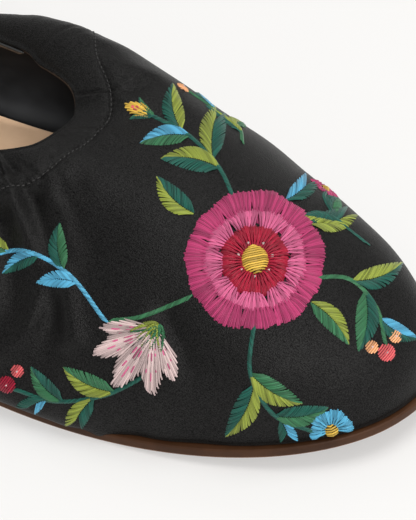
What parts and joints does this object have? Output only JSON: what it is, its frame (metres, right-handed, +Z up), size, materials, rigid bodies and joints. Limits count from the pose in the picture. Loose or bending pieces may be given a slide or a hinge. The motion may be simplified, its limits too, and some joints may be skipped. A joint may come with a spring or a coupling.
{
  "type": "ballet flat",
  "caption": "Right-foot ballet flat in soft black satin with a gathered round collar, floral thread embroidery, a nude leather footbed, a thin leather sole and a low heel.",
  "frame": {"origin": "middle of the shoe's bounding box, on the floor it stands on", "axes": "+X towards the toe, +Y towards the inner (big toe) side, +Z up"},
  "size_m": [0.2494, 0.0908, 0.0578],
  "materials": {
    "satin": "satin",
    "footbed_leather": "smooth",
    "sole_leather": "polished edge",
    "heel_leather": "matte"
  },
  "bodies": {
    "root": {"upper": "satin", "footbed": "footbed_leather", "outsole": "sole_leather", "heel": "heel_leather"}
  },
  "joints": []
}
